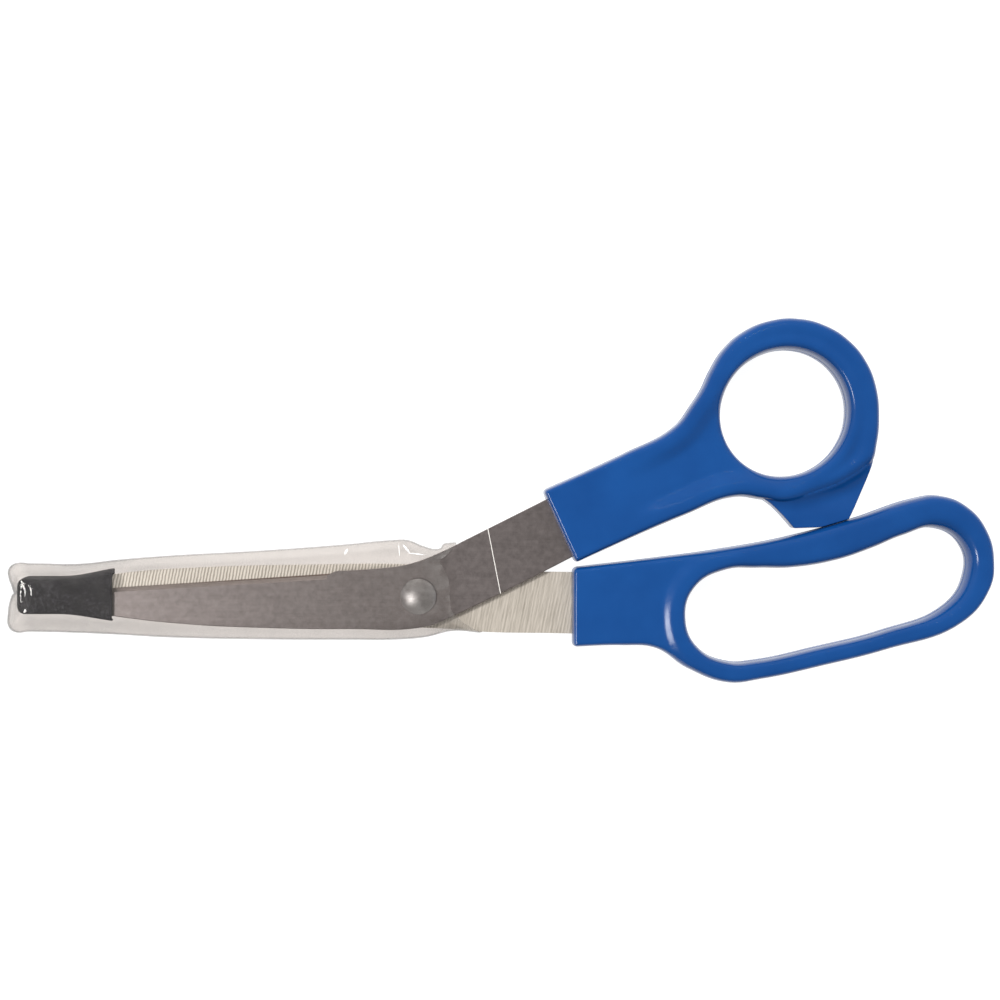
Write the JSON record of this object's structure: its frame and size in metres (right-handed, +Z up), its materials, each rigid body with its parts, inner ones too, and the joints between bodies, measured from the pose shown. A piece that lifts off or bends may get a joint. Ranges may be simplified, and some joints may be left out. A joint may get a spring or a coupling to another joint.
{
  "type": "bent-handled shears",
  "caption": "Bent-handled steel shears with blue moulded handles, a domed rivet pivot, a rubber tip guard and a clear slip-on blade sleeve.",
  "frame": {"origin": "centre of the whole object's box, on the surface that the shears lie on", "axes": "+X from the tips towards the handles, +Y towards the thumb ring's side, +Z up out of the front blade's outer face"},
  "size_m": [0.2466, 0.0914, 0.0108],
  "materials": {
    "back_blade": "cross-ground stainless steel, light warm grey",
    "finger_handle": "glossy moulded blue plastic",
    "pivot_rivet": "polished steel dome",
    "rivet_washer": "plain steel",
    "front_blade": "dark satin stainless steel with a lighter ground edge",
    "thumb_handle": "glossy moulded blue plastic",
    "tip_guard": "matte black rubber, lightly scuffed",
    "blade_sleeve": "clear soft vinyl film with a faint warm grey cast"
  },
  "bodies": {
    "finger_side": {"back_blade": "back_blade", "finger_handle": "finger_handle", "pivot_rivet": "pivot_rivet", "rivet_washer": "rivet_washer"},
    "thumb_side": {"front_blade": "front_blade", "thumb_handle": "thumb_handle"},
    "guard": {"tip_guard": "tip_guard"},
    "sleeve": {"blade_sleeve": "blade_sleeve"}
  },
  "joints": [
    {"name": "blade_pivot", "type": "hinge", "parent": "finger_side", "child": "thumb_side", "pos_m": [-0.02028, -0.02393, 0.0054], "axis": [0, 0, 1], "range_deg": [0, 65], "deforming": ["tip_guard", "blade_sleeve"]},
    {"name": "guard_pull", "type": "slide", "parent": "finger_side", "child": "guard", "axis": [-1, 0, 0], "range_m": [0, 0.035]},
    {"name": "sleeve_pull", "type": "slide", "parent": "guard", "child": "sleeve", "axis": [-1, 0, 0], "range_m": [0, 0.125]}
  ]
}
